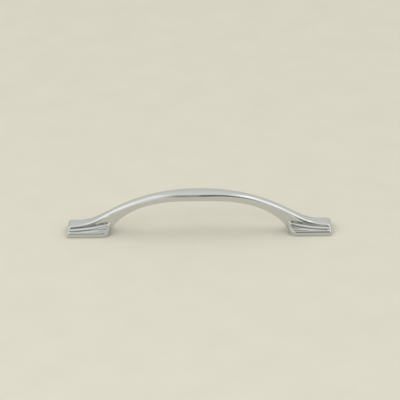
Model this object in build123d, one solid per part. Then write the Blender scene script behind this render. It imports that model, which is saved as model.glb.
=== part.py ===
"""Bow cabinet handle: one die-cast piece with a crowned bow on two fluted feet.

The frame has its origin at the middle of the mounting plane. +X runs along the
handle, +Y across it and +Z away from the cabinet face. Lengths are in millimetres.
"""
import math
import os

from build123d import *

# Mounting
HOLE_SPACING = 128.0      # between the two screw holes
HOLE_DIAMETER = 3.3       # core hole of an M4 thread
HOLE_DEPTH = 5.6          # full diameter depth from the mounting face
HOLE_MOUTH = 0.4          # chamfer at the mouth of the hole

# Bow
BOW_HEIGHT = 26.2         # top of the crown at mid span
GRIP_THICKNESS = 4.7      # crown to underside at mid span
GRIP_WIDTH = 10.0         # bow width at mid span
GRIP_SPREAD = 24.0        # how far the wide middle reaches along the bow
WAIST_WIDTH = 5.8         # narrowest width of the arms
HEEL_WIDTH = 11.0         # width of the top at the outer ends
BOW_POWER = 2.4           # flatness of the top curve at mid span
BOW_INSET = 0.9           # bow curve meets foot level this far inside the hole
SWEEP_BLEND = 2.7         # softness of the sweep from bow into foot
ARCH_POWER = 2.5          # flatness of the underside at mid span
ARCH_ROUND = 1.55         # fullness of the underside towards the feet
ROOT_SINK = 0.4           # arch springs this far behind the nose of the foot
CROWN_GRIP = 0.75         # crown stands this far above the edges of bow and arms
CROWN_HEEL = 0.3          # crown stands this far above the edges at the outer ends
EDGE_RADIUS = 1.1         # rounding along the top edges

# Feet
NOSE_REACH = 12.3         # from the screw hole to the round inner end
HEEL_REACH = 12.9         # from the screw hole to the square outer end
PAD_WIDTH = 16.0
FOOT_HEIGHT = 6.05        # top of the crown at the outer end
NOSE_RADIUS = 6.0         # plan corners at the inner end
HEEL_RADIUS = 1.8         # plan corners at the outer end
HEEL_ROUND = 3.5          # radius of the outer end as it leans in towards the top
HEEL_LEVEL = 3.3          # height where the outer end starts to lean in
RIM_HEIGHT_NOSE = 2.8     # height of the long rim at the nose
RIM_HEIGHT_HEEL = 3.0     # height of the long rim at the heel
RIM_ROUND = 1.2           # rounding along the long rim
NOSE_RIM = 1.7            # width of the rim at the nose
HEEL_RIM = 2.4            # width of the rim at the heel
RECESS_NOSE = 2.5         # plan corners of the flute at the nose
RECESS_HEEL = 0.6         # plan corners of the flute at the heel
RIDGE_HEEL = 3.9          # ridge height at the heel
RIDGE_NOSE = 6.3          # ridge height at the nose
RIDGE_OFFSET = 0.85       # ridge stands out this far from the bow at heel and nose
RIDGE_SWELL = 0.45        # ridge stands out this much more between them
SWELL_POWER = 1.9         # moves the swell of the ridge towards the nose
TREAD_HEEL = 0.85         # width of the tread inside the ridge at the heel
TREAD_NOSE = 0.5          # width of the tread inside the ridge at the nose
TREAD_FALL = 30.0         # fall of the tread, degrees
COVE_LEAN = 21.0          # lean of the cove above the tread, degrees from upright
COVE_ROUND = 0.6          # radius between the tread and the cove
COVE_BITE = 0.12          # cove runs this far into the arm
FLUTE_LEAN = 10.0         # lean of the flute just below the ridge, degrees from upright

# Places that follow from the sizes above
HOLE_X = HOLE_SPACING / 2
TIP_X = HOLE_X - NOSE_REACH
END_X = HOLE_X + HEEL_REACH
PAD_LENGTH = END_X - TIP_X
BOW_REACH = HOLE_X - BOW_INSET
ARCH_SPAN = TIP_X + ROOT_SINK
ARCH_HEIGHT = BOW_HEIGHT - GRIP_THICKNESS
SPINE_STATIONS = 25
FOOT_STATIONS = 7


def ease(t):
    """Smooth step from 0 to 1."""
    t = min(max(t, 0.0), 1.0)
    return t * t * (3.0 - 2.0 * t)


def half_width(x):
    """Half of the bow's width at x: wide grip, narrow arms, flared heels."""
    grip = (GRIP_WIDTH - WAIST_WIDTH) / 2 * math.exp(-((x / GRIP_SPREAD) ** 2))
    heel = (HEEL_WIDTH - WAIST_WIDTH) / 2 * ease((abs(x) - TIP_X) / PAD_LENGTH)
    return WAIST_WIDTH / 2 + grip + heel


def crown_height(x):
    """Height of the crown line at x: the bow's curve swept softly into the feet."""
    rise = BOW_HEIGHT - FOOT_HEIGHT
    level = rise * (1.0 - (abs(x) / BOW_REACH) ** BOW_POWER)
    return FOOT_HEIGHT + SWEEP_BLEND * math.log1p(math.exp(level / SWEEP_BLEND))


def crown_rise(x):
    """Rise of the crown over the edges of the top at x, less towards the outer ends."""
    return CROWN_GRIP + (CROWN_HEEL - CROWN_GRIP) * ease((abs(x) - TIP_X) / PAD_LENGTH)


def cross_plane(x):
    """Plane across the handle at x, with local axes along +Y and +Z."""
    return Plane(origin=(x, 0, 0), x_dir=(0, 1, 0), z_dir=(1, 0, 0))


def flipped(point):
    """Mirror image of a section point across the handle's middle plane."""
    return (-point[0], point[1])


def spine_section(x):
    """Section of the bow at x, filled down to the mounting plane."""
    half = half_width(x)
    top = crown_height(x)
    rise = crown_rise(x)
    crown_radius = (half ** 2 + rise ** 2) / (2.0 * rise)
    crown_z = top - crown_radius
    across = half - EDGE_RADIUS
    reach = crown_radius - EDGE_RADIUS
    turn = math.atan2(math.sqrt(reach ** 2 - across ** 2), across)
    edge_z = crown_z + reach * math.sin(turn)
    shoulder = (half, edge_z)
    middle = (across + EDGE_RADIUS * math.cos(turn / 2), edge_z + EDGE_RADIUS * math.sin(turn / 2))
    brow = (crown_radius * math.cos(turn), crown_z + crown_radius * math.sin(turn))
    outline = [
        Line((-half, 0), (half, 0)),
        Line((half, 0), shoulder),
        ThreePointArc(shoulder, middle, brow),
        ThreePointArc(brow, (0, top), flipped(brow)),
        ThreePointArc(flipped(brow), flipped(middle), flipped(shoulder)),
        Line(flipped(shoulder), (-half, 0)),
    ]
    return cross_plane(x) * make_face(outline)


def rounded(start, corner, end, radius):
    """Lines from start to end by way of a corner that is rounded."""
    back = Vector(*start) - Vector(*corner)
    ahead = Vector(*end) - Vector(*corner)
    back, ahead = back.normalized(), ahead.normalized()
    half_angle = math.radians(back.get_angle(ahead)) / 2
    first = Vector(*corner) + back * (radius / math.tan(half_angle))
    last = Vector(*corner) + ahead * (radius / math.tan(half_angle))
    inward = (back + ahead).normalized()
    middle = Vector(*corner) + inward * (radius / math.sin(half_angle) - radius)
    return [Line(start, first), ThreePointArc(first, middle, last), Line(last, end)]


def hollow(ridge, rim):
    """Arc of the flute from rim to ridge, steep at the ridge."""
    run = rim[0] - ridge[0]
    drop = ridge[1] - rim[1]
    bend = math.atan2(run, drop) - math.radians(FLUTE_LEAN)
    sag = math.hypot(run, drop) / 2 * math.tan(bend / 2)
    slope = math.atan2(drop, run)
    middle_y = (rim[0] + ridge[0]) / 2 - sag * math.sin(slope)
    middle_z = (rim[1] + ridge[1]) / 2 - sag * math.cos(slope)
    return ThreePointArc(rim, (middle_y, middle_z), ridge)


def flank_points(x):
    """Rim, ridge, tread corner and cove top of a foot's section at x."""
    inward = (END_X - x) / PAD_LENGTH
    rim = (PAD_WIDTH / 2 - RIM_ROUND, RIM_HEIGHT_HEEL + (RIM_HEIGHT_NOSE - RIM_HEIGHT_HEEL) * inward)
    deep = min(max(inward, 0.0), 1.0)
    offset = RIDGE_OFFSET + RIDGE_SWELL * math.sin(math.pi * deep ** SWELL_POWER)
    ridge = (half_width(x) + offset, RIDGE_HEEL + (RIDGE_NOSE - RIDGE_HEEL) * inward ** 3)
    tread = TREAD_HEEL + (TREAD_NOSE - TREAD_HEEL) * inward ** 3
    fall = math.radians(TREAD_FALL)
    corner = (ridge[0] - tread * math.cos(fall), ridge[1] + tread * math.sin(fall))
    arm = half_width(x) - COVE_BITE
    top = (arm, corner[1] + (corner[0] - arm) / math.tan(math.radians(COVE_LEAN)))
    return rim, ridge, corner, top


def foot_section(x):
    """Section of a foot at x, flat from ridge to rim."""
    rim, ridge, corner, top = flank_points(x)
    wall = (PAD_WIDTH / 2, rim[1] - RIM_ROUND)
    bead = (rim[0] + RIM_ROUND * math.sqrt(0.5), wall[1] + RIM_ROUND * math.sqrt(0.5))
    rise = [Line((PAD_WIDTH / 2, 0), wall), ThreePointArc(wall, bead, rim), Line(rim, ridge)]
    flank = [*rise, *rounded(ridge, corner, top, COVE_ROUND)]
    other = [mirror(line, about=Plane.YZ) for line in flank]
    base = Line(flank[0] @ 0, other[0] @ 0)
    roof = Line(flank[-1] @ 1, other[-1] @ 1)
    return cross_plane(x) * make_face([*flank, *other, base, roof])


def flute_section(x):
    """Section of the space cut away by the flute at x, from its hollow up into the open."""
    rim, ridge, _, _ = flank_points(x)
    lid = PAD_WIDTH / 2
    outline = [hollow(ridge, rim), Polyline(ridge, (lid, ridge[1]), (lid, rim[1]), rim)]
    return cross_plane(x) * make_face(outline)


def foot_loft(section):
    """Loft of a section between the planes of nose and heel, before its plan is cut."""
    step = (PAD_LENGTH + 2 * ROOT_SINK) / (FOOT_STATIONS - 1)
    start = TIP_X - ROOT_SINK
    return loft([section(start + step * i) for i in range(FOOT_STATIONS)])


def pad_plan(start, end, half, nose_radius, heel_radius):
    """Plan of a foot from start to end along X, rounded more at the nose than at the heel."""
    plan = Pos((start + end) / 2, 0) * Rectangle(end - start, 2 * half)
    plan = fillet(plan.vertices().group_by(Axis.X)[0], nose_radius)
    return fillet(plan.vertices().group_by(Axis.X)[-1], heel_radius)


def spine():
    """The bow with the arch beneath it cut away."""
    step = 2 * END_X / (SPINE_STATIONS - 1)
    body = loft([spine_section(-END_X + step * i) for i in range(SPINE_STATIONS)])
    crest = []
    for i in range(9):
        angle = math.radians(90.0 * i / 8)
        across = math.sin(angle) ** (2 / ARCH_POWER)
        up = max(math.cos(angle), 0.0) ** (2 / ARCH_ROUND)
        crest.append((ARCH_SPAN * across, ARCH_HEIGHT * up))
    half = Spline(crest, tangents=[(1, 0), (0, -1)])
    legs = [(ARCH_SPAN, 0), (ARCH_SPAN, -BOW_HEIGHT), (-ARCH_SPAN, -BOW_HEIGHT), (-ARCH_SPAN, 0)]
    outline = [half, mirror(half, about=Plane.YZ), Polyline(*legs)]
    opening = extrude(Plane.XZ * make_face(outline), amount=PAD_WIDTH, both=True)
    return body - opening


def foot():
    """The foot at +X: a rimmed pad with a cove and a flute along each side."""
    plan = pad_plan(TIP_X, END_X, PAD_WIDTH / 2, NOSE_RADIUS, HEEL_RADIUS)
    body = foot_loft(foot_section) & extrude(plan, BOW_HEIGHT)
    inner = (PAD_WIDTH - RIM_ROUND) / 2
    plan = pad_plan(TIP_X + NOSE_RIM, END_X - HEEL_RIM, inner, RECESS_NOSE, RECESS_HEEL)
    flute = foot_loft(flute_section) & extrude(plan, BOW_HEIGHT)
    return body - flute - mirror(flute, about=Plane.XZ)


def heel_corner():
    """The corner cut away where the foot's outer end leans in towards the top."""
    x = END_X - HEEL_ROUND
    size = 2 * HEEL_ROUND
    block = Pos(x + HEEL_ROUND, 0, HEEL_LEVEL + HEEL_ROUND) * Box(size, PAD_WIDTH + 1, size)
    return block - Pos(x, 0, HEEL_LEVEL) * Rot(90, 0, 0) * Cylinder(HEEL_ROUND, 2 * PAD_WIDTH)


def screw_hole():
    """Blind core hole of the screw thread, with a chamfered mouth."""
    radius = HOLE_DIAMETER / 2
    hole = Pos(HOLE_X, 0, HOLE_DEPTH / 2) * Cylinder(radius, HOLE_DEPTH)
    mouth = Pos(HOLE_X, 0, HOLE_MOUTH / 2) * Cone(radius + HOLE_MOUTH, radius, HOLE_MOUTH)
    return hole + mouth


def handle():
    """The whole casting."""
    right = foot()
    cuts = screw_hole() + heel_corner()
    body = spine() + right + mirror(right, about=Plane.YZ)
    return body - cuts - mirror(cuts, about=Plane.YZ)


os.makedirs("parts", exist_ok=True)
export_step(handle(), "parts/bow_handle.step")
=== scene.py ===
"""Chrome bow cabinet handle on a pale studio floor.

The casting is written as a signed field of its driving sizes, in millimetres. The field is
meshed, and the mesh is settled onto the field's zero surface, so that the polished skin is
smooth and its rounded edges are true. The studio around it is a pale floor with soft light.
"""
import logging
import math
from dataclasses import dataclass
from enum import Enum

import bpy
import numpy as np
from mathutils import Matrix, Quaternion, Vector


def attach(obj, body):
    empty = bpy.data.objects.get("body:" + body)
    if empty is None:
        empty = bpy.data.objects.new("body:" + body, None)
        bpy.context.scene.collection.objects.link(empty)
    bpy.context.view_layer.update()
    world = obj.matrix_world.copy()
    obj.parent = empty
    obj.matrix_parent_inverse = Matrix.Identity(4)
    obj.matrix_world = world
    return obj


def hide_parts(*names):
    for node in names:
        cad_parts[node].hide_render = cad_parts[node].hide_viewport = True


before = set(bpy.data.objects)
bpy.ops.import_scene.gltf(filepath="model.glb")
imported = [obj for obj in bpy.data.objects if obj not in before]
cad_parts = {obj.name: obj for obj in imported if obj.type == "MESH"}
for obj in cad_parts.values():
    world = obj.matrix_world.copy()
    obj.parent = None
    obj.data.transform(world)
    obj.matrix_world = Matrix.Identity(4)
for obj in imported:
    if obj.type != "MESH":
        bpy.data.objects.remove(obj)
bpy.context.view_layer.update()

LOG = logging.getLogger("bow_handle")
MM = 0.001
Triple = tuple[float, float, float]
Colour = Triple
Feed = bpy.types.NodeSocket | Colour | float
Stops = tuple[tuple[float, Colour | float], ...]

# Tones of the sky from the horizon up
HAZE_TONES = ((0.0, (0.60, 0.615, 0.57)), (0.4, (0.74, 0.76, 0.72)), (0.95, (0.92, 0.93, 0.90)))

# Bright window bands by slant from left to right
WINDOW_BAND = ((0.29, 0.0), (0.355, 0.45), (0.42, 0.0), (0.58, 0.0), (0.645, 1.0), (0.71, 0.0))

# Bright side sheets by slant from left to right
LEFT_SHEET = ((0.08, 0.0), (0.18, 0.50), (0.30, 0.30), (0.40, 0.0))
RIGHT_SHEET = ((0.60, 0.0), (0.70, 0.75), (0.76, 0.70), (0.82, 0.42), (0.92, 0.0))

# Dark strip in front of the handle from left to right, near the floor and higher up
LOW_STRIP = (
    (0.35, 0.0),
    (0.42, 1.0),
    (0.44, 1.0),
    (0.46, 0.5),
    (0.485, 0.5),
    (0.505, 1.0),
    (0.52, 1.0),
    (0.55, 0.28),
    (0.64, 0.45),
    (0.70, 0.45),
    (0.75, 0.0),
)
HIGH_STRIP = (
    (0.30, 0.0),
    (0.38, 0.75),
    (0.45, 0.58),
    (0.48, 0.58),
    (0.505, 1.0),
    (0.62, 1.0),
    (0.66, 0.85),
    (0.72, 0.25),
    (0.78, 0.0),
)


def round_cut(a: np.ndarray, b: np.ndarray, radius: float | np.ndarray) -> np.ndarray:
    """Intersect two fields and round the convex edge between them.

    Args:
        a: First field, negative inside.
        b: Second field, negative inside.
        radius: Radius of the rounding.

    Returns:
        The field of the common space.
    """
    corner = np.hypot(np.maximum(a + radius, 0.0), np.maximum(b + radius, 0.0))
    return corner + np.minimum(np.maximum(a, b) + radius, 0.0) - radius


def round_join(a: np.ndarray, b: np.ndarray, radius: float | np.ndarray) -> np.ndarray:
    """Join two fields and fill the concave edge between them.

    Args:
        a: First field, negative inside.
        b: Second field, negative inside.
        radius: Radius of the fill.

    Returns:
        The field of the joined space.
    """
    return -round_cut(-a, -b, radius)


def smooth_step(t: np.ndarray) -> np.ndarray:
    """Ease from 0 to 1.

    Args:
        t: Values of which those from 0 to 1 are eased.

    Returns:
        The eased values, held at 0 and 1 outside that range.
    """
    t = np.clip(t, 0.0, 1.0)
    return t * t * (3.0 - 2.0 * t)


@dataclass(frozen=True)
class HandleSizes:
    """Driving sizes of the casting, in millimetres and degrees."""

    # Bow
    hole_x: float = 64.0  # screw hole from mid span
    nose_reach: float = 12.3  # inner end of a foot from its hole
    heel_reach: float = 12.9  # outer end of a foot from its hole
    bow_height: float = 26.2  # crown at mid span
    foot_height: float = 6.05  # crown at the outer end
    bow_power: float = 2.4  # power of the crown line
    bow_inset: float = 0.9  # the crown line comes down to the foot this far before the hole
    sweep_blend: float = 2.7  # softness of the sweep from arm to foot
    grip_thickness: float = 4.7  # bar at mid span
    grip_width: float = 10.0  # bar at mid span
    grip_spread: float = 24.0  # reach of the wide grip from mid span
    waist_width: float = 5.8  # bar between grip and foot
    heel_width: float = 11.0  # bar at the outer end
    crown_grip: float = 0.75  # rise of the crown over its edges on the bow
    crown_heel: float = 0.3  # rise of the crown over its edges at the outer end
    edge_grip: float = 1.4  # rounding of the crown's edges on the bow
    edge_heel: float = 1.7  # rounding of the crown's edges at the outer end
    under_radius: float = 0.5  # rounding of the lower edges
    arch_power: float = 2.5  # power of the arch along the handle
    arch_round: float = 1.55  # power of the arch upwards
    root_sink: float = 0.4  # the arch springs this far inside the nose

    # Outline and rim of a foot
    pad_width: float = 16.0  # across the foot
    nose_radius: float = 5.0  # plan corners at the inner end
    heel_level: float = 3.3  # height at which the outer end starts to lean in
    heel_round: float = 3.5  # radius of that lean
    heel_edge: float = 1.2  # rounding of the bow's outer end
    heel_bead: float = 1.2  # rounding of the foot's outer end
    base_round: float = 0.2  # edge of the flat base
    rim_height: float = 2.85  # inner edge of the rim
    rim_inset: float = 1.0  # inner edge of the rim from the foot's side
    rim_fall: float = 28.0  # slope of the rim, degrees
    rim_round: float = 0.6  # outer edge of the rim
    nose_rim: float = 1.7  # rim around the nose
    heel_rim: float = 2.2  # block at the outer end
    block_round: float = 0.4  # edges of the block and of the riser's inner end

    # Ridge, with the tread and the riser of the cove above it
    ridge_heel: float = 3.75  # height at the heel
    ridge_nose: float = 6.5  # height at the nose
    ridge_power: float = 2.6  # power of its rise
    ridge_offset: float = 0.9  # stands out this far from the bow at heel and nose
    ridge_swell: float = 0.72  # stands out this much more between them
    swell_power: float = 1.6  # power that moves the swell towards the nose
    ridge_round: float = 0.18  # edge of the ridge
    tread_heel: float = 1.45  # width of the tread at the heel
    tread_nose: float = 0.4  # width of the tread at the nose
    tread_power: float = 7.0  # power of its narrowing
    tread_fall: float = 35.0  # slope of the tread, degrees
    cove_lean: float = 18.0  # lean of the riser, degrees
    cove_round: float = 0.12  # fill between tread and riser
    cove_start: float = 1.2  # the riser starts this far from the nose
    cove_drop: float = 0.75  # the riser ends at most this close below the crown's edges
    cove_bite: float = 0.07  # the riser ends this far inside the bow
    cove_join: float = 0.06  # fill between foot and bow

    # Flute between ridge and rim
    flute_lean: float = 16.0  # lean of its walls, degrees
    flute_round: float = 0.15  # its steps and corners
    terrace_heel: float = 2.55  # height of the terrace at the heel
    terrace_nose: float = 3.8  # height of the terrace at the nose
    terrace_fall: float = 16.0  # slope of the terrace, degrees
    recess_nose: float = 2.2  # plan corners of the flute's inner end
    recess_round: float = 0.25  # upper edges of the flute

    # Screw hole
    thread_root: float = 2.0  # radius at the root of the thread
    thread_crest: float = 1.65  # radius at its crest
    thread_pitch: float = 0.7  # rise in one turn
    hole_depth: float = 5.6  # from the base
    hole_mouth: float = 0.4  # chamfer of the mouth

    @property
    def tip_x(self) -> float:
        """Distance of the foot's nose from mid span."""
        return self.hole_x - self.nose_reach

    @property
    def end_x(self) -> float:
        """Distance of the outer end from mid span."""
        return self.hole_x + self.heel_reach

    @property
    def pad_length(self) -> float:
        """Length of a foot."""
        return self.nose_reach + self.heel_reach


class HandleField:
    """Signed field of the casting: negative inside the metal, about a distance near its skin."""

    # Limits that keep the formulas in range away from the feet
    SLOPE_STEP = 0.05
    LEAST_STEEPNESS = 0.005
    LEAST_RUN = 0.02
    LEAST_CLIMB = 0.05
    LEAST_FLUTE = 0.3
    MOST_LEAN = 0.95
    INWARD_RANGE = (-0.1, 1.2)

    def __init__(self, sizes: HandleSizes) -> None:
        """Keep the sizes.

        Args:
            sizes: Driving sizes of the casting.
        """
        self.sizes = sizes

    def half_width(self, x: np.ndarray) -> np.ndarray:
        """Half of the bow's width.

        Args:
            x: Distances from mid span.

        Returns:
            Half widths at x.
        """
        s = self.sizes
        grip = (s.grip_width - s.waist_width) / 2 * np.exp(-((x / s.grip_spread) ** 2))
        heel = (s.heel_width - s.waist_width) / 2 * smooth_step((x - s.tip_x) / s.pad_length)
        return s.waist_width / 2 + grip + heel

    def crown_height(self, x: np.ndarray) -> np.ndarray:
        """Height of the crown line.

        Args:
            x: Distances from mid span.

        Returns:
            Heights of the crown at x.
        """
        s = self.sizes
        reach = s.hole_x - s.bow_inset
        level = (s.bow_height - s.foot_height) * (1.0 - (x / reach) ** s.bow_power)
        return s.foot_height + s.sweep_blend * np.log1p(np.exp(level / s.sweep_blend))

    def brow_height(self, x: np.ndarray) -> np.ndarray:
        """Height at which the crown meets the sides of the bow.

        Args:
            x: Distances from mid span.

        Returns:
            Heights of the crown's edges at x, before their rounding.
        """
        s = self.sizes
        flat = smooth_step((x - s.tip_x) / s.pad_length)
        return self.crown_height(x) - s.crown_grip - (s.crown_heel - s.crown_grip) * flat

    def edge_radius(self, x: np.ndarray) -> np.ndarray:
        """Rounding between the crown and the sides of the bow.

        Args:
            x: Distances from mid span.

        Returns:
            Radii at x.
        """
        s = self.sizes
        return s.edge_grip + (s.edge_heel - s.edge_grip) * smooth_step((x - s.tip_x) / s.pad_length)

    def spine(self, x: np.ndarray, y: np.ndarray, z: np.ndarray) -> np.ndarray:
        """Field of the crowned bow above its arch.

        Args:
            x: Distances from mid span.
            y: Distances from the middle plane.
            z: Heights above the mounting plane.

        Returns:
            Field of the bow.
        """
        s = self.sizes
        step = self.SLOPE_STEP
        half = self.half_width(x)
        flare = (self.half_width(x + step) - half) / step
        top = self.crown_height(x)
        slope = (self.crown_height(x + step) - top) / step
        lift = top - self.brow_height(x)
        radius = (half**2 + lift**2) / (2.0 * lift)
        crown = (np.hypot(y, z - top + radius) - radius) / np.sqrt(1.0 + slope**2)
        side = (y - half) / np.sqrt(1.0 + flare**2)
        bar = round_cut(crown, side, self.edge_radius(x))
        span = s.tip_x + s.root_sink
        rise = s.bow_height - s.grip_thickness
        along = x / span
        up = np.maximum(z, 0.0) / rise
        level = along**s.arch_power + up**s.arch_round - 1.0
        steep_x = s.arch_power / span * along ** (s.arch_power - 1.0)
        steep_z = s.arch_round / rise * up ** (s.arch_round - 1.0)
        arch = level / np.maximum(np.hypot(steep_x, steep_z), self.LEAST_STEEPNESS)
        return round_cut(bar, -arch, s.under_radius)

    def inward(self, x: np.ndarray) -> np.ndarray:
        """Share of the way from the outer end of a foot to its nose.

        Args:
            x: Distances from mid span.

        Returns:
            Shares at x, held a little beyond 0 and 1.
        """
        s = self.sizes
        return np.clip((s.end_x - x) / s.pad_length, *self.INWARD_RANGE)

    def ridge(self, x: np.ndarray) -> tuple[np.ndarray, np.ndarray]:
        """Course of the ridge along a foot.

        Args:
            x: Distances from mid span.

        Returns:
            Its distances from the middle plane and its heights at x.
        """
        s = self.sizes
        inward = self.inward(x)
        swell = s.ridge_swell * np.sin(math.pi * np.clip(inward, 0.0, 1.0) ** s.swell_power)
        rise = (s.ridge_nose - s.ridge_heel) * np.maximum(inward, 0.0) ** s.ridge_power
        return self.half_width(x) + s.ridge_offset + swell, s.ridge_heel + rise

    def cove(self, x: np.ndarray, y: np.ndarray, z: np.ndarray) -> np.ndarray:
        """Field under the cove: a tread that falls to the ridge, and a riser up to the bow's side.

        Args:
            x: Distances from mid span.
            y: Distances from the middle plane.
            z: Heights above the mounting plane.

        Returns:
            Field of the space under tread and riser.
        """
        s = self.sizes
        half = self.half_width(x)
        brow = self.brow_height(x)
        ridge_y, ridge_z = self.ridge(x)
        fall = math.radians(s.tread_fall)
        narrowing = np.clip(self.inward(x), 0.0, 1.0) ** s.tread_power
        width = s.tread_heel + (s.tread_nose - s.tread_heel) * narrowing
        corner_y = ridge_y - width * math.cos(fall)
        corner_z = ridge_z + width * math.sin(fall)
        tread = (y - ridge_y) * math.sin(fall) + (z - ridge_z) * math.cos(fall)

        # The riser's top sits inside the rounding of the crown's edges
        edge = self.edge_radius(x)
        sunk = edge - np.sqrt(edge**2 - (edge - s.cove_drop) ** 2)
        run = np.maximum(corner_y - half + sunk + s.cove_bite, self.LEAST_RUN)
        cap = np.minimum(corner_z + run / math.tan(math.radians(s.cove_lean)), brow - s.cove_drop)
        climb = np.maximum(cap - corner_z, self.LEAST_CLIMB)
        riser = ((y - corner_y) * climb + (z - corner_z) * run) / np.hypot(climb, run)
        riser = round_cut(riser, s.tip_x + s.cove_start - x, s.block_round)
        cove = np.minimum(round_join(tread, riser, s.cove_round), z - ridge_z)
        return np.maximum(cove, z - cap)

    def fluted_slab(self, x: np.ndarray, y: np.ndarray, z: np.ndarray) -> np.ndarray:
        """Field of the slab from ridge to rim, with the flute sunk into it.

        Args:
            x: Distances from mid span.
            y: Distances from the middle plane.
            z: Heights above the mounting plane.

        Returns:
            Field of the slab, open at its outer end.
        """
        s = self.sizes
        ridge_y, ridge_z = self.ridge(x)
        rim_y, rim_z = s.pad_width / 2 - s.rim_inset, s.rim_height

        # Flute: a wall under the ridge, a terrace with a step, and the sloping rim
        lean = math.radians(s.flute_lean)
        wall = (y - ridge_y) * math.cos(lean) + (z - ridge_z) * math.sin(lean)
        step = (y - rim_y) * math.cos(lean) + (z - rim_z) * math.sin(lean)
        step_z = s.terrace_heel + (s.terrace_nose - s.terrace_heel) * self.inward(x)
        terrace_fall, rim_fall = math.radians(s.terrace_fall), math.radians(s.rim_fall)
        terrace = (y - rim_y) * math.sin(terrace_fall) + (z - step_z) * math.cos(terrace_fall)
        terrace = round_cut(terrace, step, s.flute_round)
        rim = (y - rim_y) * math.sin(rim_fall) + (z - rim_z) * math.cos(rim_fall)
        flute = round_join(round_join(wall, terrace, s.flute_round), rim, s.flute_round)

        # Slab, and the plan in which the flute is sunk
        run, drop = np.maximum(rim_y - ridge_y, self.LEAST_FLUTE), ridge_z - rim_z
        roof = ((z - ridge_z) * run + (y - ridge_y) * drop) / np.hypot(run, drop)
        slab = np.minimum(np.minimum(roof, wall), rim) - s.recess_round
        recess = round_cut(s.tip_x + s.nose_rim - x, y - rim_y, s.recess_nose)
        return round_cut(slab, round_join(flute, -recess, s.flute_round), s.recess_round)

    def pad(self, x: np.ndarray, y: np.ndarray, z: np.ndarray) -> np.ndarray:
        """Field of a foot: fluted slab, cove and end block inside a plan with a round nose.

        Args:
            x: Distances from mid span.
            y: Distances from the middle plane.
            z: Heights above the mounting plane.

        Returns:
            Field of the foot, open at its outer end.
        """
        s = self.sizes
        ridge_y, ridge_z = self.ridge(x)
        body = round_cut(self.fluted_slab(x, y, z), self.cove(x, y, z), s.ridge_round)
        under_edge = z - self.brow_height(x) + self.edge_radius(x)
        block = np.maximum((y - ridge_y + z - ridge_z) / math.sqrt(2.0), under_edge)
        block = round_cut(block, s.end_x - s.heel_rim - x, s.block_round)
        outline = round_cut(s.tip_x - x, y - s.pad_width / 2, s.nose_radius)
        return round_cut(round_join(body, block, s.flute_round), outline, s.rim_round)

    def value(self, x: np.ndarray, y: np.ndarray, z: np.ndarray) -> np.ndarray:
        """Field of the whole casting.

        Args:
            x: Positions along the handle.
            y: Positions across it.
            z: Heights above the mounting plane.

        Returns:
            Field at those points.
        """
        s = self.sizes
        x, y = np.abs(x), np.abs(y)
        up = np.clip((z - s.heel_level) / s.heel_round, 0.0, self.MOST_LEAN)
        upright = np.sqrt(1.0 - up**2)
        heel = (x - s.end_x + s.heel_round * (1.0 - upright)) * upright
        spine = round_cut(self.spine(x, y, z), heel, s.heel_edge)
        pad = round_cut(self.pad(x, y, z), heel, s.heel_bead)
        body = round_join(spine, pad, s.cove_join)
        body = round_cut(body, -z, s.base_round)
        reach = np.hypot(x - s.hole_x, y)
        mouth = np.maximum(s.thread_root, s.thread_root + s.hole_mouth - z)
        hole = np.maximum(reach - mouth, z - s.hole_depth)
        return np.maximum(body, -hole)


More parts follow.
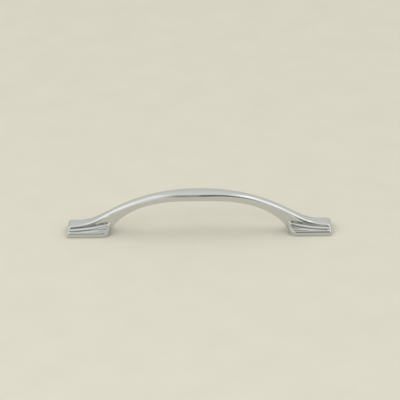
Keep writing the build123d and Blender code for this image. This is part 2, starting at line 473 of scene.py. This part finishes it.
@dataclass(frozen=True)
class FieldMesher:
    """Meshes the zero surface of the casting's field.

    Attributes:
        bow_pitch: Grid step along the bow, in millimetres.
        foot_pitch: Grid step along the feet, in millimetres.
        cross_pitch: Grid step across the handle and up, in millimetres.
        foot_margin: How far before the nose the finer step starts, in millimetres.
        free_steps: Grid steps kept free around the casting.
        settle_steps: How often the points are evened out and put back on the surface.
        settle_share: Share of the way that a point then goes to the middle of its neighbours.
        return_steps: How many moves put the points back on the surface.
        return_limit: Longest such move along an axis, in steps of the cross pitch.
        least_slope: Least gradient that such a move is worked out with.
        slope_reach: Reach over which gradients are read, in millimetres.
    """

    bow_pitch: float = 0.7
    foot_pitch: float = 0.34
    cross_pitch: float = 0.175
    foot_margin: float = 1.5
    free_steps: float = 2.5
    settle_steps: int = 4
    settle_share: float = 0.5
    return_steps: int = 2
    return_limit: float = 0.5
    least_slope: float = 0.2
    slope_reach: float = 0.02

    def build(self, field: HandleField, name: str) -> bpy.types.Mesh:
        """Make the mesh, in metres, with normals from the field.

        Args:
            field: Field to mesh.
            name: Name of the new mesh.

        Returns:
            The finished mesh.
        """
        points, quads = self.net(*self.sample(field))
        points, normals = self.settle(field, points, quads)
        mesh = bpy.data.meshes.new(name)
        mesh.from_pydata((points * MM).tolist(), [], quads.tolist())
        mesh.shade_smooth()
        mesh.normals_split_custom_set_from_vertices(normals.tolist())
        mesh.validate()
        return mesh

    def sample(self, field: HandleField) -> tuple[np.ndarray, tuple[np.ndarray, ...]]:
        """Read the field on the grid, which is finer along the feet.

        Args:
            field: Field to read.

        Returns:
            Values on the grid, and the grid's places along X, Y and Z in millimetres.
        """
        s = field.sizes
        step, foot_step = self.cross_pitch, self.foot_pitch
        free = self.free_steps * step
        bow = np.arange(self.bow_pitch / 2, s.tip_x - self.foot_margin, self.bow_pitch)
        foot = np.arange(bow[-1] + foot_step, s.end_x + self.free_steps * foot_step, foot_step)
        xs = np.concatenate((bow, foot))
        ys = np.arange(step / 2, s.pad_width / 2 + free, step)
        zs = np.arange(-free, s.bow_height + free, step)
        quarter = field.value(xs[:, None, None], ys[None, :, None], zs[None, None, :])
        half = np.concatenate((quarter[::-1], quarter), axis=0)
        values = np.concatenate((half[:, ::-1], half), axis=1)
        return values, (np.concatenate((-xs[::-1], xs)), np.concatenate((-ys[::-1], ys)), zs)

    @staticmethod
    def net(values: np.ndarray, grid: tuple[np.ndarray, ...]) -> tuple[np.ndarray, np.ndarray]:
        """Place one point in every grid cell that the surface crosses, and join them.

        Args:
            values: Field on the grid.
            grid: Places of the grid along X, Y and Z, in millimetres.

        Returns:
            Points in millimetres, and quads as rows of point numbers.
        """
        inside = values < 0.0
        cells_shape = tuple(n - 1 for n in values.shape)
        count = np.zeros(cells_shape, dtype=np.int8)
        for corner in np.ndindex(2, 2, 2):
            count += inside[tuple(slice(c, c + n) for c, n in zip(corner, cells_shape))]
        crossed = (count > 0) & (count < 8)
        cells = np.argwhere(crossed)
        number = np.full(cells_shape, -1)
        number[crossed] = np.arange(len(cells))
        axes = np.eye(3, dtype=int)
        total = np.zeros((len(cells), 3))
        hits = np.zeros(len(cells))
        quads = []
        for axis in range(3):
            second, third = axes[(axis + 1) % 3], axes[(axis + 2) % 3]
            for u, v in np.ndindex(2, 2):
                low = cells + u * second + v * third
                near = values[tuple(low.T)]
                far = values[tuple((low + axes[axis]).T)]
                cross = (near < 0.0) != (far < 0.0)
                part = np.where(cross, near / np.where(cross, near - far, 1.0), 0.0)
                total += cross[:, None] * (u * second + v * third + part[:, None] * axes[axis])
                hits += cross
            size = values.shape[axis]
            low_side = np.take(inside, range(size - 1), axis=axis)
            high_side = np.take(inside, range(1, size), axis=axis)
            nodes = np.argwhere(low_side != high_side)
            around = [nodes - second - third, nodes - third, nodes, nodes - second]
            ring = np.stack([number[tuple(cell.T)] for cell in around], axis=1)
            outward = low_side[tuple(nodes.T)]
            quads.append(np.where(outward[:, None], ring, ring[:, ::-1]))
        spots = cells + total / hits[:, None]
        points = [np.interp(spot, np.arange(len(line)), line) for spot, line in zip(spots.T, grid)]
        return np.stack(points, axis=1), np.concatenate(quads)

    def settle(
        self, field: HandleField, points: np.ndarray, quads: np.ndarray
    ) -> tuple[np.ndarray, np.ndarray]:
        """Even out the points along the surface and put them on it.

        Args:
            field: Field that the points belong to.
            points: Points in millimetres.
            quads: Rows of point numbers.

        Returns:
            Settled points and their unit normals.
        """
        start = quads.ravel()
        end = np.roll(quads, -1, axis=1).ravel()
        degree = np.bincount(start, minlength=len(points))[:, None]
        limit = self.return_limit * self.cross_pitch
        for _ in range(self.settle_steps):
            sums = [np.bincount(start, points[end, i], len(points)) for i in range(3)]
            points = points + self.settle_share * (np.stack(sums, axis=1) / degree - points)
            for _ in range(self.return_steps):
                value, slope = self.slope(field, points)
                length = np.linalg.norm(slope, axis=1, keepdims=True)
                move = value[:, None] * slope / np.maximum(length, self.least_slope) ** 2
                points = points - np.clip(move, -limit, limit)
        slope = self.slope(field, points)[1]
        return points, slope / np.linalg.norm(slope, axis=1, keepdims=True)

    def slope(self, field: HandleField, points: np.ndarray) -> tuple[np.ndarray, np.ndarray]:
        """Value and gradient of the field.

        Args:
            field: Field to read.
            points: Points in millimetres.

        Returns:
            Values, and gradients as rows.
        """
        reach = self.slope_reach
        sides = []
        for offset in np.eye(3) * reach:
            ahead = field.value(*(points + offset).T)
            behind = field.value(*(points - offset).T)
            sides.append((ahead - behind) / (2.0 * reach))
        return field.value(*points.T), np.stack(sides, axis=1)


class NodeGraph:
    """Short way to add and join shader nodes in a tree."""

    def __init__(self, tree: bpy.types.NodeTree) -> None:
        """Clear the tree.

        Args:
            tree: Node tree to fill.
        """
        self.tree = tree
        tree.nodes.clear()

    def add(self, kind: str, **values: object) -> bpy.types.Node:
        """Add a node.

        Args:
            kind: Blender's name of the node type.
            **values: Properties of the node, set by name.

        Returns:
            The new node.
        """
        node = self.tree.nodes.new(kind)
        for name, value in values.items():
            setattr(node, name, value)
        return node

    def join(self, source: bpy.types.NodeSocket, target: bpy.types.NodeSocket) -> None:
        """Link two sockets.

        Args:
            source: Output socket.
            target: Input socket.
        """
        self.tree.links.new(source, target)

    def feed(self, target: bpy.types.NodeSocket, value: Feed) -> None:
        """Link or set an input.

        Args:
            target: Input socket.
            value: Output socket to link, or a number or colour to set.
        """
        if isinstance(value, bpy.types.NodeSocket):
            self.join(value, target)
        elif isinstance(value, tuple):
            target.default_value = (*value, 1.0)
        else:
            target.default_value = value

    def math(self, operation: str, *values: Feed) -> bpy.types.NodeSocket:
        """Add a maths node.

        Args:
            operation: Blender's name of the operation.
            *values: What feeds its inputs, in order.

        Returns:
            Its output.
        """
        node = self.add("ShaderNodeMath", operation=operation)
        for target, value in zip(node.inputs, values):
            self.feed(target, value)
        return node.outputs["Value"]

    def unit(self, value: Feed) -> bpy.types.NodeSocket:
        """Bring a value from the range of -1 to 1 into that of 0 to 1."""
        return self.math("MULTIPLY_ADD", value, 0.5, 0.5)

    def step(self, value: Feed, low: float, high: float) -> bpy.types.NodeSocket:
        """Ease from 0 to 1 while a value goes from low to high.

        Args:
            value: What is eased.
            low: Where the result is 0.
            high: Where the result is 1.

        Returns:
            The eased value.
        """
        node = self.add("ShaderNodeMapRange", interpolation_type="SMOOTHSTEP")
        self.feed(node.inputs["Value"], value)
        node.inputs["From Min"].default_value = low
        node.inputs["From Max"].default_value = high
        return node.outputs["Result"]

    def mix(self, share: Feed, first: Feed, second: Feed) -> bpy.types.NodeSocket:
        """Mix two colours.

        Args:
            share: Share of the second colour.
            first: First colour.
            second: Second colour.

        Returns:
            The mixed colour.
        """
        node = self.add("ShaderNodeMix", data_type="RGBA")
        factor_and_colours = (node.inputs[0], node.inputs[6], node.inputs[7])
        for target, value in zip(factor_and_colours, (share, first, second)):
            self.feed(target, value)
        return node.outputs[2]

    def ramp(self, value: Feed, stops: Stops) -> bpy.types.NodeSocket:
        """Colour ramp with eased steps.

        Args:
            value: Where on the ramp to read.
            stops: Positions and colours or grey levels, from low to high.

        Returns:
            The colour read.
        """
        node = self.add("ShaderNodeValToRGB")
        self.feed(node.inputs["Fac"], value)
        node.color_ramp.interpolation = "EASE"
        elements = node.color_ramp.elements
        while len(elements) < len(stops):
            elements.new(1.0)
        for element, (spot, tone) in zip(elements, stops):
            element.position = spot
            element.color = (*tone, 1.0) if isinstance(tone, tuple) else (tone, tone, tone, 1.0)
        return node.outputs["Color"]


class Effect(Enum):
    """Effects that more than one material uses."""

    PATCHES = "soft_patches"
    RIPPLE = "fine_ripple"


class EffectKit:
    """Shader node groups that the materials share."""

    # Detail of the noises, and the noise levels that the patches spread over
    PATCH_DETAIL = 4.0
    PATCH_LEVELS = (0.3, 0.7)
    RIPPLE_DETAIL = 2.0

    def __init__(self) -> None:
        """Build the groups."""
        self.trees = {effect: bpy.data.node_groups.new(effect.value, "ShaderNodeTree") for effect in Effect}
        self.fill_patches()
        self.fill_ripple()

    def start(
        self, effect: Effect, result: str, **kinds: str
    ) -> tuple[NodeGraph, bpy.types.Node, bpy.types.Node]:
        """Give a group its sockets.

        Args:
            effect: Group to start.
            result: Name of its output.
            **kinds: Names of its inputs and their socket types.

        Returns:
            Graph of the group, its input node and its output node.
        """
        tree = self.trees[effect]
        for name, kind in kinds.items():
            tree.interface.new_socket(name, in_out="INPUT", socket_type=kind)
        tree.interface.new_socket(result, in_out="OUTPUT", socket_type="NodeSocketFloat")
        graph = NodeGraph(tree)
        return graph, graph.add("NodeGroupInput"), graph.add("NodeGroupOutput")

    def fill_patches(self) -> None:
        """A value that drifts between Low and High in soft patches."""
        number = "NodeSocketFloat"
        graph, entry, exit_node = self.start(Effect.PATCHES, "Value", Scale=number, Low=number, High=number)
        place = graph.add("ShaderNodeTexCoord")
        noise = graph.add("ShaderNodeTexNoise")
        noise.inputs["Detail"].default_value = self.PATCH_DETAIL
        graph.join(place.outputs["Object"], noise.inputs["Vector"])
        graph.join(entry.outputs["Scale"], noise.inputs["Scale"])
        level = graph.add("ShaderNodeMapRange")
        least, most = self.PATCH_LEVELS
        level.inputs["From Min"].default_value = least
        level.inputs["From Max"].default_value = most
        graph.join(noise.outputs["Fac"], level.inputs["Value"])
        graph.join(entry.outputs["Low"], level.inputs["To Min"])
        graph.join(entry.outputs["High"], level.inputs["To Max"])
        graph.join(level.outputs["Result"], exit_node.inputs["Value"])

    def fill_ripple(self) -> None:
        """A height that ripples over the surface and may be drawn out into lines."""
        graph, entry, exit_node = self.start(
            Effect.RIPPLE, "Height", Scale="NodeSocketFloat", Stretch="NodeSocketVector"
        )
        place = graph.add("ShaderNodeTexCoord")
        stretch = graph.add("ShaderNodeMapping")
        graph.join(place.outputs["Object"], stretch.inputs["Vector"])
        graph.join(entry.outputs["Stretch"], stretch.inputs["Scale"])
        noise = graph.add("ShaderNodeTexNoise")
        noise.inputs["Detail"].default_value = self.RIPPLE_DETAIL
        graph.join(stretch.outputs["Vector"], noise.inputs["Vector"])
        graph.join(entry.outputs["Scale"], noise.inputs["Scale"])
        graph.join(noise.outputs["Fac"], exit_node.inputs["Height"])

    def place(self, graph: NodeGraph, effect: Effect, **values: Feed) -> bpy.types.NodeSocket:
        """Put a group into a material.

        Args:
            graph: Graph of the material.
            effect: Group to place.
            **values: Values of the group's inputs.

        Returns:
            Output of the group.
        """
        node = graph.add("ShaderNodeGroup", node_tree=self.trees[effect])
        for name, value in values.items():
            node.inputs[name].default_value = value
        return node.outputs[0]


@dataclass(frozen=True)
class MetalFinish:
    """Finish of a bare or plated metal surface.

    Attributes:
        name: Name of the material.
        colour: Colour of the metal.
        roughness: Least and most roughness.
        patch: Patches of roughness to a metre.
        ripple: Ripples to a metre.
        stretch: Scale of the ripple along X, Y and Z.
        depth: Height of the ripple, in metres.
    """

    name: str
    colour: Colour
    roughness: tuple[float, float]
    patch: float
    ripple: float
    stretch: Triple
    depth: float

    def build(self, effects: EffectKit) -> bpy.types.Material:
        """Make the material.

        Args:
            effects: Shared node groups.

        Returns:
            The new material.
        """
        material = bpy.data.materials.new(self.name)
        material.use_nodes = True
        graph = NodeGraph(material.node_tree)
        shader = graph.add("ShaderNodeBsdfPrincipled")
        shader.inputs["Base Color"].default_value = (*self.colour, 1.0)
        shader.inputs["Metallic"].default_value = 1.0
        low, high = self.roughness
        patches = effects.place(graph, Effect.PATCHES, Scale=self.patch, Low=low, High=high)
        graph.join(patches, shader.inputs["Roughness"])
        bump = graph.add("ShaderNodeBump")
        bump.inputs["Distance"].default_value = self.depth
        ripple = effects.place(graph, Effect.RIPPLE, Scale=self.ripple, Stretch=self.stretch)
        graph.join(ripple, bump.inputs["Height"])
        graph.join(bump.outputs["Normal"], shader.inputs["Normal"])
        output = graph.add("ShaderNodeOutputMaterial")
        graph.join(shader.outputs["BSDF"], output.inputs["Surface"])
        return material


class Metal(Enum):
    """Metal finishes of the handle."""

    CHROME = MetalFinish(
        name="chrome_plate",
        colour=(0.65, 0.655, 0.645),
        roughness=(0.10, 0.14),
        patch=90.0,
        ripple=260.0,
        stretch=(1.0, 1.0, 1.0),
        depth=4e-6,
    )
    GROUND = MetalFinish(
        name="ground_base",
        colour=(0.50, 0.50, 0.48),
        roughness=(0.28, 0.45),
        patch=300.0,
        ripple=2500.0,
        stretch=(0.04, 1.0, 1.0),
        depth=3e-5,
    )
    TAPPED = MetalFinish(
        name="tapped_zinc",
        colour=(0.52, 0.52, 0.51),
        roughness=(0.25, 0.40),
        patch=900.0,
        ripple=3000.0,
        stretch=(1.0, 1.0, 0.2),
        depth=2e-5,
    )


@dataclass
class HandleBody:
    """The casting: plated all round, with ground bases.

    Attributes:
        sizes: Driving sizes.
        plated: Material of the skin.
        ground: Material of the flat bases.
        flat_level: Height up to which a face may belong to a base, in millimetres.
        flat_turn: How far such a face at least looks down, 1 being straight down.
    """

    sizes: HandleSizes
    plated: bpy.types.Material
    ground: bpy.types.Material
    flat_level: float = 0.02
    flat_turn: float = 0.99

    def build(self) -> bpy.types.Object:
        """Build the piece in place of the solid.

        Returns:
            The casting.
        """
        mesh = FieldMesher().build(HandleField(self.sizes), "handle_casting")
        mesh.materials.append(self.plated)
        mesh.materials.append(self.ground)
        level = self.flat_level * MM
        bases = [face.center.z < level and face.normal.z < -self.flat_turn for face in mesh.polygons]
        mesh.polygons.foreach_set("material_index", np.array(bases, dtype=np.int32))
        piece = bpy.data.objects.new("handle_casting", mesh)
        bpy.context.scene.collection.objects.link(piece)
        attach(piece, "root")
        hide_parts("bow_handle")
        LOG.info("%s: %d points, %d faces", piece.name, len(mesh.vertices), len(mesh.polygons))
        return piece


class Side(Enum):
    """Ends of the handle along X."""

    LEFT = -1
    RIGHT = 1


@dataclass
class ScrewThread:
    """Right-hand thread in the hole of one foot.

    Attributes:
        side: End of the handle.
        sizes: Driving sizes.
        finish: Material of the thread.
        spokes: Points around the hole.
        rings: Points along one turn.
        crest_flat: Share of the pitch that is flat at the crest.
        root_flat: Share of the pitch that is flat at the root.
        end_gap: How far the thread ends before the hole does, in millimetres.
        seat: How far its sleeve reaches into the metal, in millimetres.
    """

    side: Side
    sizes: HandleSizes
    finish: bpy.types.Material
    spokes: int = 40
    rings: int = 14
    crest_flat: float = 0.25
    root_flat: float = 0.125
    end_gap: float = 0.2
    seat: float = 0.05

    def radius(self, angle: np.ndarray, height: np.ndarray) -> np.ndarray:
        """Radius of the helical surface.

        Args:
            angle: Angles about the hole's axis, in turns.
            height: Heights above the mounting plane.

        Returns:
            Radii at those places.
        """
        s = self.sizes
        turn = np.mod(height / s.thread_pitch - angle, 1.0)
        flank = 1.0 - self.crest_flat - self.root_flat
        depth = np.clip((np.abs(2.0 * turn - 1.0) - self.crest_flat) / flank, 0.0, 1.0)
        return s.thread_crest + (s.thread_root - s.thread_crest) * depth

    def build(self) -> bpy.types.Object:
        """Build the piece: the helical surface and the sleeve that seats it in the foot.

        Returns:
            The thread.
        """
        s = self.sizes
        start, end = s.hole_mouth, s.hole_depth - self.end_gap
        count = round((end - start) / s.thread_pitch * self.rings) + 1
        angle = np.arange(self.spokes) / self.spokes
        height = np.linspace(start, end, count)
        inner = self.radius(angle[None, :], height[:, None])
        sleeve = np.full((1, self.spokes), s.thread_root + self.seat)
        radii = np.concatenate((sleeve, inner, sleeve))
        levels = np.concatenate((height[:1], height, height[-1:]))
        middle = self.side.value * s.hole_x
        points = np.stack(
            (
                middle + radii * np.cos(2.0 * math.pi * angle),
                radii * np.sin(2.0 * math.pi * angle),
                np.repeat(levels[:, None], self.spokes, axis=1),
            ),
            axis=-1,
        ).reshape(-1, 3)
        ring = np.arange(len(levels))[:, None] * self.spokes
        above = np.roll(ring, -1, axis=0)
        spoke = np.arange(self.spokes)[None, :]
        after = np.roll(spoke, -1, axis=1)
        quads = np.stack((ring + spoke, above + spoke, above + after, ring + after), axis=-1).reshape(-1, 4)
        mesh = bpy.data.meshes.new(f"screw_thread_{self.side.name.lower()}")
        mesh.from_pydata((points * MM).tolist(), [], quads.tolist())
        mesh.materials.append(self.finish)
        piece = bpy.data.objects.new(mesh.name, mesh)
        bpy.context.scene.collection.objects.link(piece)
        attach(piece, "root")
        LOG.info("%s: %d faces", piece.name, len(mesh.polygons))
        return piece


@dataclass(frozen=True)
class FloorFinish:
    """Matt pale floor with faint patches.

    Attributes:
        name: Name of the material.
        dim: Darker tone.
        pale: Paler tone.
        patch: Patches to a metre.
        roughness: Roughness of the surface.
    """

    name: str = "studio_floor"
    dim: Colour = (0.645, 0.617, 0.536)
    pale: Colour = (0.665, 0.637, 0.554)
    patch: float = 40.0
    roughness: float = 0.9

    def build(self, effects: EffectKit) -> bpy.types.Material:
        """Make the material.

        Args:
            effects: Shared node groups.

        Returns:
            The new material.
        """
        material = bpy.data.materials.new(self.name)
        material.use_nodes = True
        graph = NodeGraph(material.node_tree)
        shader = graph.add("ShaderNodeBsdfPrincipled")
        share = effects.place(graph, Effect.PATCHES, Scale=self.patch, Low=0.0, High=1.0)
        graph.join(graph.mix(share, self.dim, self.pale), shader.inputs["Base Color"])
        shader.inputs["Roughness"].default_value = self.roughness
        shader.inputs["Specular IOR Level"].default_value = 0.0
        output = graph.add("ShaderNodeOutputMaterial")
        graph.join(shader.outputs["BSDF"], output.inputs["Surface"])
        return material


@dataclass(frozen=True)
class SoftBox:
    """Soft lamp aimed at the handle.

    Attributes:
        name: Name of the lamp.
        place: Where it hangs, in metres.
        size: Width and height of its face, in metres.
        power: Power, in watts.
    """

    name: str
    place: Triple
    size: tuple[float, float]
    power: float

    def build(self) -> None:
        """Add the lamp."""
        data = bpy.data.lights.new(self.name, "AREA")
        data.shape = "RECTANGLE"
        data.size, data.size_y = self.size
        data.energy = self.power
        lamp = bpy.data.objects.new(self.name, data)
        lamp.location = self.place
        lamp.rotation_euler = (-Vector(self.place)).to_track_quat("-Z", "Y").to_euler()
        lamp.visible_glossy = False
        bpy.context.scene.collection.objects.link(lamp)
        LOG.info("%s: %.1f W", self.name, self.power)


class Lamp(Enum):
    """Lamps of the studio."""

    RIGHT = SoftBox("right_box", (0.9, 0.3, 1.2), (0.9, 0.9), 1.6)
    LEFT = SoftBox("left_box", (-0.9, 0.3, 1.2), (0.9, 0.9), 1.3)
    FRONT = SoftBox("front_box", (-0.4, -1.0, 0.8), (1.2, 0.6), 4.1)


@dataclass(frozen=True)
class Sky:
    """Light from all round: pale haze, bright windows and sheets, and a dark strip in front.

    Heights and depths are the upward and backward parts of a direction, from -1 to 1.

    Attributes:
        bright: Colour of the windows and sheets.
        dark: Colour of the strip.
        slant_ease: Height added where a slant is worked out, which eases it near the horizon.
        window_rise: Heights between which the windows fade in.
        window_depth: Depths between which the windows fade in.
        sheet_depth: Depths between which the sheets fade in.
        strip_depth: Depths between which the strip fades in.
        strip_rise: Heights between which the strip's low part gives way to its high part.
    """

    bright: Colour = (1.70, 1.70, 1.65)
    dark: Colour = (0.20, 0.20, 0.18)
    slant_ease: float = 0.35
    window_rise: tuple[float, float] = (0.42, 0.60)
    window_depth: tuple[float, float] = (0.78, 0.45)
    sheet_depth: tuple[float, float] = (0.30, 0.02)
    strip_depth: tuple[float, float] = (-0.12, -0.60)
    strip_rise: tuple[float, float] = (0.18, 0.32)

    def build(self) -> None:
        """Make the sky the scene's world."""
        world = bpy.data.worlds.new("studio_sky")
        bpy.context.scene.world = world
        world.use_nodes = True
        graph = NodeGraph(world.node_tree)
        place = graph.add("ShaderNodeTexCoord")
        split = graph.add("ShaderNodeSeparateXYZ")
        graph.join(place.outputs["Generated"], split.inputs["Vector"])
        across, back, up = (split.outputs[axis] for axis in "XYZ")
        haze = graph.ramp(up, HAZE_TONES)

        # Windows overhead and sheets at the sides
        slant = graph.math("DIVIDE", across, graph.math("ADD", up, self.slant_ease))
        spot = graph.unit(slant)
        overhead = graph.math(
            "MULTIPLY", graph.step(up, *self.window_rise), graph.step(back, *self.window_depth)
        )
        window = graph.math("MULTIPLY", graph.ramp(spot, WINDOW_BAND), overhead)
        sheets = graph.math("MAXIMUM", graph.ramp(spot, LEFT_SHEET), graph.ramp(spot, RIGHT_SHEET))
        sheet = graph.math("MULTIPLY", sheets, graph.step(back, *self.sheet_depth))
        lit = graph.mix(graph.math("MAXIMUM", window, sheet), haze, self.bright)

        # Dark strip in front
        turn = graph.unit(across)
        low_strip, high_strip = (graph.ramp(turn, stops) for stops in (LOW_STRIP, HIGH_STRIP))
        strip = graph.mix(graph.step(up, *self.strip_rise), low_strip, high_strip)
        shade = graph.math("MULTIPLY", strip, graph.step(back, *self.strip_depth))
        light = graph.add("ShaderNodeBackground")
        graph.join(graph.mix(shade, lit, self.dark), light.inputs["Color"])
        output = graph.add("ShaderNodeOutputWorld")
        graph.join(light.outputs["Background"], output.inputs["Surface"])


@dataclass(frozen=True)
class Studio:
    """Floor, sky and lamps.

    Attributes:
        floor_side: Half of the floor's width, in metres.
        floor_drop: How far the floor lies below the bases, in metres.
    """

    floor_side: float = 3.0
    floor_drop: float = 0.00005

    def build(self, effects: EffectKit) -> None:
        """Build the studio.

        Args:
            effects: Shared node groups.
        """
        side = self.floor_side
        corners = [(x * side, y * side, -self.floor_drop) for x, y in ((-1, -1), (1, -1), (1, 1), (-1, 1))]
        mesh = bpy.data.meshes.new("floor")
        mesh.from_pydata(corners, [], [(0, 1, 2, 3)])
        mesh.materials.append(FloorFinish().build(effects))
        floor = bpy.data.objects.new("floor", mesh)
        bpy.context.scene.collection.objects.link(floor)
        LOG.info("%s: %.1f m wide", floor.name, 2.0 * side)
        Sky().build()
        for lamp in Lamp:
            lamp.value.build()


@dataclass(frozen=True)
class PhotoCamera:
    """Camera at the photograph's viewing angle.

    Attributes:
        distance: From the target, in metres.
        elevation: Above the horizontal, in degrees.
        azimuth: Turn about the vertical from straight in front, in degrees.
        roll: Turn about the line of sight, in degrees.
        target: Point that the camera looks at, in metres.
        frame_width: Width of the picture at the target, in metres.
    """

    distance: float = 1.2
    elevation: float = 26.0
    azimuth: float = -1.5
    roll: float = 1.18
    target: Triple = (0.00077, 0.0, 0.0200)
    frame_width: float = 0.232

    def build(self) -> None:
        """Add the camera and make it the scene's own."""
        data = bpy.data.cameras.new("photo_camera")
        data.sensor_fit = "HORIZONTAL"
        data.angle = 2.0 * math.atan(self.frame_width / 2 / self.distance)
        up, turn = math.radians(self.elevation), math.radians(self.azimuth)
        back = Vector((-math.sin(turn) * math.cos(up), -math.cos(turn) * math.cos(up), math.sin(up)))
        camera = bpy.data.objects.new("photo_camera", data)
        camera.location = Vector(self.target) + back * self.distance
        level = (-back).to_track_quat("-Z", "Y")
        tilt = Quaternion((0.0, 0.0, 1.0), -math.radians(self.roll))
        camera.rotation_euler = (level @ tilt).to_euler()
        bpy.context.scene.collection.objects.link(camera)
        bpy.context.scene.camera = camera


def main() -> None:
    """Build the handle and its studio."""
    logging.basicConfig(level=logging.INFO, format="%(message)s")
    sizes = HandleSizes()
    effects = EffectKit()
    finishes = {metal: metal.value.build(effects) for metal in Metal}
    HandleBody(sizes, finishes[Metal.CHROME], finishes[Metal.GROUND]).build()
    for side in Side:
        ScrewThread(side, sizes, finishes[Metal.TAPPED]).build()
    Studio().build(effects)
    PhotoCamera().build()
    bpy.context.scene.view_settings.view_transform = "Standard"


if __name__ == "__main__":
    main()
